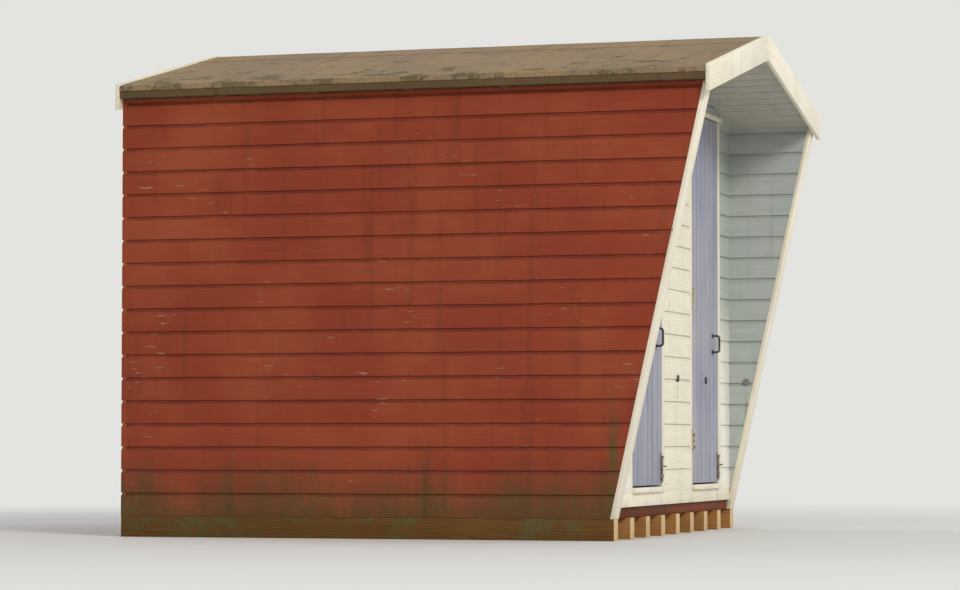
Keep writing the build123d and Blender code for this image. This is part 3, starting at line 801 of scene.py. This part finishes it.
finishPiece("wingBoards", wingParts, "paleBluePaint", replaced="wing_linings", bareInside=True)

# Soffits over the porch and boards under the felt, both running from the front to the rear
roofLayers = {
    # which way it faces, height over the underside of the rafters, depth and cover
    "soffit": (-1, 0.0, 0.012, 0.098), "roof": (1, rafterDepth, 0.018, 0.12),
}
ridgePoint = Vector((0, 0, eaves + halfWidth * slope))


def layRoof(layer, side, box, edge, cuts=()):
    # boards down one slope, cut at the ridge and at their lower edge
    facing, lift, depth, cover = roofLayers[layer]
    sign = sides[side]
    off = offRoof[sign]
    place = wallFrame((0, 1, 0), downRoof[sign], off * facing, ridgePoint + off * lift)
    ends = [(Vector((0, 0, 0)), Vector((-sign, 0, 0))), (Vector((sign * edge, 0, 0)), Vector((sign, 0, 0)))]
    reach = (-2 * pastCut, edge / cos(roofPitch) + 2 * pastCut)
    return layBoards(place, (box[0].y, box[1].y), reach, depth, "matchboard", layer + side, cover,
                     first=0.0, cuts=(*ends, *cuts))


for side, sign in sides.items():
    packed = f"porch_soffit_{side}"
    box = boxOf(packed)
    bm = layRoof("soffit", side, box, liningInner, [(Vector((0, 0, box[1].z)), up)])
    # the soffit's finish holds painted warm bounce light
    finishPiece(f"soffitBoards_{side}", bm, "soffitPaintWithBounceLight", replaced=packed, outward=-offRoof[sign])
    packed = f"roof_boards_{side}"
    box = boxOf(packed)
    bm = layRoof("roof", side, box, max(abs(box[0].x), abs(box[1].x)))
    finishPiece(f"roofBoards_{side}", bm, "frameTimber", replaced=packed)

# Floor boards across the joists
deckCover = 0.122
place = wallFrame((1, 0, 0), (0, 1, 0), up, (0, 0, deckLow.z))
bm = layBoards(place, (deckLow.x, deckHigh.x), (deckLow.y, deckHigh.y), deckHigh.z - deckLow.z,
               "deck", "deck", deckCover, deckLow.y)
finishPiece("floorBoards", bm, "floorTimber", replaced="floor_deck")

# Door leaves of vertical matchboard, with a hair's breadth off the first board at the hinges
leaf = {"boards": 6, "hingeRoom": 0.0005}
for side in sides:
    packed = f"door_boards_{side}"
    low, high = boxOf(packed)
    place = wallFrame(up, (1, 0, 0), (0, -1, 0), (0, high.y, 0))
    bm = layBoards(place, (low.z, high.z), (low.x + leaf["hingeRoom"], high.x), high.y - low.y, "matchboard",
                   "door" + side, cover=(high.x - low.x) / leaf["boards"], first=low.x)
    finishPiece(f"doorLeaf_{side}", bm, "doorPaint", f"door_{side}", packed, outward=(0, -1, 0))
print("boards laid")

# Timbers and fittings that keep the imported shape, with their arrises eased
easedTimbers = {
    # finish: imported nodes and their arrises
    "groundTimber": {"ground_bearers": 0.0025},
    "beamPaint": {"edge_beams": 0.003, "cross_beams": 0.003},
    "floorTimber": {"floor_joists": 0.002},
    "whitePaint": {
        "plinth_board": 0.002, "wing_trims": 0.002, "bargeboards_left": 0.002, "bargeboards_right": 0.002,
        "door_drips": 0.003, "door_jambs": 0.0012, "door_sills": 0.002,
    },
    "frameTimber": {
        "wall_studs": 0.002, "wall_plates": 0.002, "bottom_rails": 0.002, "wing_raking_studs": 0.002,
        "rafters": 0.002, "ridge_board": 0.002, "door_header": 0.002,
    },
    "eavesPaint": {"eaves_fascias": 0.002},
    "hingeSteel": {"frame_hinges": 0.0003},
    "blackIron": {"wall_bosses": 0.002},
}
easedOnDoors = {
    "doorPaint": {"door_ledges": 0.003, "door_braces": 0.003},
    "hingeSteel": {"door_hinge_flaps": 0.0003},
    "blackIron": {"door_furniture": 0.0006},
}


def cutLine(piece, x):
    # divides the faces of a piece where its finish changes
    bm = bmesh.new()
    bm.from_mesh(piece.data)
    everything = bm.verts[:] + bm.edges[:] + bm.faces[:]
    bmesh.ops.bisect_plane(bm, geom=everything, dist=1e-6, plane_co=(x, 0, 0), plane_no=(1, 0, 0))
    bm.to_mesh(piece.data)
    bm.free()


def refinish(piece, finish, chosen):
    # another finish on part of a piece
    piece.data.materials.append(materials[finish])
    for face in piece.data.polygons:
        face.material_index = int(chosen(face.center))


def easedCopy(packed, finish, arris, body="hut"):
    bm = bmesh.new()
    bm.from_mesh(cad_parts[packed].data)
    bmesh.ops.remove_doubles(bm, verts=bm.verts[:], dist=1e-5)
    bmesh.ops.dissolve_limit(bm, angle_limit=radians(0.6), verts=bm.verts[:], edges=bm.edges[:])
    for timber in islandsOf(bm):
        bmesh.ops.split(bm, geom=timber)
    sharp = [edge for edge in bm.edges if len(edge.link_faces) == 2 and edge.calc_face_angle() > radians(40)]
    bmesh.ops.bevel(bm, geom=sharp, offset=arris, offset_type="OFFSET", segments=2, profile=0.5,
                    affect="EDGES", material=-1, clamp_overlap=True)
    return finishPiece(f"eased_{packed}", bm, finish, body, packed)


for finish, arrises in easedTimbers.items():
    for name, arris in arrises.items():
        piece = easedCopy(name, finish, arris)
        if name == "rafters":
            for sign in sides.values():
                cutLine(piece, sign * frameOuter)
            refinish(piece, "eavesPaint", lambda place: abs(place.x) > frameOuter)
        if name == "wall_bosses":
            refinish(piece, "paintedIron", lambda place: abs(place.x) > 1.0)
for side in sides:
    for finish, arrises in easedOnDoors.items():
        for name, arris in arrises.items():
            piece = easedCopy(f"{name}_{side}", finish, arris, f"door_{side}")
            if name == "door_furniture":
                refinish(piece, "boltSteel", lambda place: place.z < 0.6)
print("timbers eased")

# Nails: radius and height of each kind of head
nailHeads = {
    "wall": (0.0042, 0.0009), "door": (0.0034, 0.0009), "clout": (0.0055, 0.0012), "eaves": (0.0045, 0.0006),
}
# and where they stand: how far from the wing's edge, a corner, a board's end and a ledge's end, how
# far off level they are and how close to a wall's edge, and where the boss leaves no room for one
nailPlaces = {
    "wingEdge": 0.055, "corner": 0.035, "boardEnd": 0.030, "ledgeEnd": 0.055, "ledgePair": 0.028,
    "offLevel": 0.003, "wallEdge": 0.012, "boss": 0.765, "bossRoom": 0.03,
}


def addHead(bm, kind, place, outward, facets=8):
    # a low domed head that stands on a face
    radius, height = nailHeads[kind]
    turn = Vector(outward).to_track_quat("Z", "Y").to_matrix().to_4x4()
    turn.translation = Vector(place) + Vector(outward) * (height / 2 - 0.0002)
    bmesh.ops.create_cone(bm, cap_ends=True, segments=facets, radius1=radius, radius2=radius * 0.62,
                          depth=height + 0.0004, matrix=turn)


def nailLevel(row):
    return boardsFoot + row * boardRows["cover"] + boardRows["nailAbove"]


def nailRows(bm, places, rise, outward, jitter, seed, within=lambda place: True):
    # one nail to each board at every place along the wall
    chance = random.Random(seed)
    cover, off, edge = boardRows["cover"], nailPlaces["offLevel"], nailPlaces["wallEdge"]
    rows = [(level - boardsFoot) / cover for level in rise]
    for row in range(ceil(rows[0] - 1e-4), floor(rows[1] + 1e-4) + 1):
        for place in places:
            along = Vector(outward).cross(up) * chance.uniform(-jitter, jitter)
            point = Vector(place) + along + Vector((0, 0, nailLevel(row) + chance.uniform(-off, off)))
            if rise[0] + edge < point.z < rise[1] - edge and within(point):
                addHead(bm, "wall", point, outward)


# Height of each nail by the wing's sloping edge, and how far forward it stands
wingNails = []
for level in [nailLevel(row) for row in range(3, 18)]:
    share = (level - boardsFoot) / wingRun.z
    wingNails.append((level, frontFrame + wingRun.y * share + nailPlaces["wingEdge"]))

bm = bmesh.new()
for side, sign in sides.items():
    for level, edge in wingNails:
        for y in (edge, frontFrame - nailPlaces["corner"]):
            addHead(bm, "wall", (sign * liningInner, y, level), (-sign, 0, 0))
finishPiece("liningNails", bm, "paleBluePaint")

for side, sign in sides.items():
    bm = bmesh.new()
    nailRows(bm, [(sign * halfWidth, y, 0) for y in sideStuds], (boardsFoot, eaves), (sign, 0, 0), 0.006,
             "nails" + side)
    for level, edge in wingNails:
        addHead(bm, "wall", (sign * halfWidth, edge, level), (sign, 0, 0))
    finishPiece(f"wallNails_{side}", bm, "redPaint")

bm = bmesh.new()
rearRows = [(row * rowStarts["X"][1], rearFace, 0) for row in range(-3, 4)]
nailRows(bm, rearRows, (rearLow.z, eaves + 0.02), (0, 1, 0), 0.006, "rearNails")
finishPiece("rearNails", bm, "rearPaint")


def clearOfBoss(point):
    return abs(point.x) > 0.01 or abs(point.z - nailPlaces["boss"]) > nailPlaces["bossRoom"]


for name in ("left", "middle", "right"):
    packed, _, finish = frontWalls[name]
    low, high = boxOf(packed)
    edges = [low.x + nailPlaces["boardEnd"], high.x - nailPlaces["boardEnd"]]
    if name == "middle":
        edges.append(0.0)
    bm = bmesh.new()
    nailRows(bm, [(x, frontFace, 0) for x in edges], (low.z, min(high.z, doorHead)), (0, -1, 0), 0.002,
             "front" + name, clearOfBoss)
    finishPiece(f"frontNails_{name}", bm, finish)

# Clenched nails through the ledges of the doors
for side in sides:
    bm = bmesh.new()
    low, high = boxOf(f"door_boards_{side}")
    ledgeLow, ledgeHigh = boxOf(f"door_ledges_{side}")
    board, end, pair = (high.x - low.x) / leaf["boards"], nailPlaces["ledgeEnd"], nailPlaces["ledgePair"]
    for level in spread(ledgeLow.z + end, ledgeHigh.z - end, 3):
        for index in range(leaf["boards"]):
            for drop in (-pair, pair):
                spot = (low.x + board * (index + 0.5) + drop * 0.35, low.y, level + drop)
                addHead(bm, "door", spot, (0, -1, 0))
    finishPiece(f"doorNails_{side}", bm, "doorPaint", f"door_{side}")
print("nails driven")


# Roofing felt, laid as the sizes beside its material say

def slopePoint(sign, along, lift):
    # a point on the felt, measured down the slope from the ridge, and off its upper face
    return Vector((0, 0, feltHigh.z)) + downRoof[sign] * along + offRoof[sign] * lift


def layFelt(reach, lift, thickness, dropTo=None):
    # a wavy strip that bends over the ridge, with edges that may turn down at the eaves
    steps, rows = feltLay["steps"], feltLay["rows"]
    bm = bmesh.new()
    line = [Vector((0, 0, feltHigh.z + lift / cos(roofPitch)))]
    for sign in sides.values():
        part = [slopePoint(sign, reach * step / steps, lift) for step in range(1, steps + 1)]
        if dropTo is not None:
            corner = part.pop()
            out = Vector((sign, 0, 0))
            part += [corner - out * 0.010, corner - out * 0.003 - up * 0.001, corner - up * 0.006,
                     Vector((corner.x, 0, dropTo))]
        line = part[::-1] + line if sign < 0 else line + part
    verts = [bm.verts.new((point.x, feltLow.y + 0.001, point.z)) for point in line]
    edges = [bm.edges.new(pair) for pair in zip(verts, verts[1:])]
    length = feltHigh.y - feltLow.y - 0.002
    for row in range(rows):
        grown = bmesh.ops.extrude_edge_only(bm, edges=edges)["geom"]
        fresh = [item for item in grown if isinstance(item, bmesh.types.BMVert)]
        edges = [item for item in grown if isinstance(item, bmesh.types.BMEdge)
                 and all(vert in fresh for vert in item.verts)]
        bmesh.ops.translate(bm, vec=(0, length / rows, 0), verts=fresh)
    bmesh.ops.recalc_face_normals(bm, faces=bm.faces[:])
    if sum((face.normal for face in bm.faces), Vector()).z < 0:
        bmesh.ops.reverse_faces(bm, faces=bm.faces[:])
    bmesh.ops.solidify(bm, geom=bm.faces[:], thickness=thickness)
    bmesh.ops.recalc_face_normals(bm, faces=bm.faces[:])
    for vert in bm.verts:
        wave = sin(vert.co.y * 9.1 + 4.0 + 2.0 * sin(vert.co.x * 3.7)) * sin(vert.co.x * 11.3 + 8.0)
        vert.co.z -= feltLay["waves"] * (0.5 + 0.5 * wave)
    return bm


sheetReach = (feltHigh.x - 0.0002) / cos(roofPitch)
bm = layFelt(sheetReach, -0.0004, feltLay["sheet"], feltLow.z)
finishPiece("feltSheets", bm, "roofFelt", replaced="roof_felt", smooth=50)
bm = layFelt(feltLay["capReach"], feltLay["cap"] - 0.0006, feltLay["cap"])
finishPiece("feltCap", bm, "roofFelt", smooth=50)

bm = bmesh.new()
chance = random.Random("clouts")
count = int((feltHigh.y - feltLow.y) / feltLay["nailPitch"])
for y in spread(feltLow.y + 0.025, feltHigh.y - 0.025, count):
    for side, sign in sides.items():
        spot = slopePoint(sign, feltLay["capReach"] - 0.018 + chance.uniform(-0.003, 0.003), 0.0006)
        spot.y = y + chance.uniform(-0.006, 0.006)
        addHead(bm, "clout", spot, offRoof[sign], 7)
        edge = (sign * (feltHigh.x - 0.0006), y + chance.uniform(-0.006, 0.006), feltLow.z + 0.011)
        addHead(bm, "eaves", edge, (sign, 0, 0), 7)
finishPiece("feltNails", bm, "zincNails")
print("roof felted")

# Floor, light and camera
studio = {
    "cameraPlace": (-15.6, -5.06, 0.46), "cameraAim": (0.0, -0.20, 1.19), "lens": 122.0,
    "floorColor": "#dcdbd7", "floorSize": 60.0, "backdropColor": "#e3e3e0", "fadeFrom": 3.2, "fadeTo": 8.5,
    "worldLight": 0.60, "worldColor": (0.96, 0.98, 1.0, 1),
}
lamps = {
    # place, aim, size, power and colour
    "keyLight": ((-18.0, -20.0, 17.0), (0, -0.5, 1.0), 8.0, 4200.0, (1.0, 0.97, 0.92)),
    "fillLight": ((12.0, -18.0, 8.0), (0, -0.5, 1.0), 12.0, 800.0, (0.95, 0.97, 1.0)),
    "backLight": ((8.0, 20.0, 14.0), (0, 0, 1.0), 12.0, 900.0, (0.97, 0.98, 1.0)),
}


def aimAt(piece, place, aim):
    piece.location = place
    piece.rotation_euler = (Vector(aim) - Vector(place)).to_track_quat("-Z", "Y").to_euler()


def blendInto(tree, factor, first, second, end):
    blend = node(tree, "ShaderNodeMixShader", {0: factor, 1: first.outputs[0], 2: second.outputs[0]})
    tree.links.new(blend.outputs[0], tree.nodes[end].inputs["Surface"])


def buildStage():
    # a pale floor that takes the hut's shadow and runs into the backdrop with no edge
    bm = bmesh.new()
    bmesh.ops.create_grid(bm, x_segments=2, y_segments=2, size=studio["floorSize"])
    mesh = bpy.data.meshes.new("studioFloor")
    bm.to_mesh(mesh)
    bm.free()
    material, tree, surface = newMaterial("studioFloor")
    feed(tree, surface.inputs, {
        "Base Color": studio["floorColor"], "Roughness": 0.85, "Specular IOR Level": 0.1,
    })
    away = node(tree, "ShaderNodeVectorMath", {0: objectPlace(tree)}, operation="LENGTH").outputs["Value"]
    glow = node(tree, "ShaderNodeEmission", {"Color": studio["backdropColor"], "Strength": 1.0})
    seen = node(tree, "ShaderNodeLightPath").outputs["Is Camera Ray"]
    fade = times(tree, rangeOf(tree, away, studio["fadeFrom"], studio["fadeTo"]), seen)
    blendInto(tree, fade, surface, glow, "Material Output")
    mesh.materials.append(material)
    addObject("studioFloor", mesh)


def buildWorld():
    world = bpy.data.worlds.new("studioWorld")
    bpy.context.scene.world = world
    world.use_nodes = True
    tree = world.node_tree
    light = tree.nodes["Background"]
    feed(tree, light.inputs, {"Color": studio["worldColor"], "Strength": studio["worldLight"]})
    seen = node(tree, "ShaderNodeBackground", {"Color": studio["backdropColor"], "Strength": 1.0})
    rays = node(tree, "ShaderNodeLightPath").outputs
    mirrored = calc(tree, "MAXIMUM", rays["Is Glossy Ray"], rays["Is Transmission Ray"])
    direct = calc(tree, "MAXIMUM", rays["Is Camera Ray"], mirrored)
    blendInto(tree, direct, light, seen, "World Output")


buildStage()
buildWorld()
for name, (place, aim, size, power, color) in lamps.items():
    light = bpy.data.lights.new(name, "AREA")
    light.shape = "DISK"
    light.size = size
    light.energy = power
    light.color = color
    aimAt(addObject(name, light), place, aim)
camera = addObject("photoCamera", bpy.data.cameras.new("photoCamera"))
aimAt(camera, studio["cameraPlace"], studio["cameraAim"])
camera.data.lens = studio["lens"]
bpy.context.scene.camera = camera
bpy.context.scene.view_settings.view_transform = "Standard"
print("studio ready")
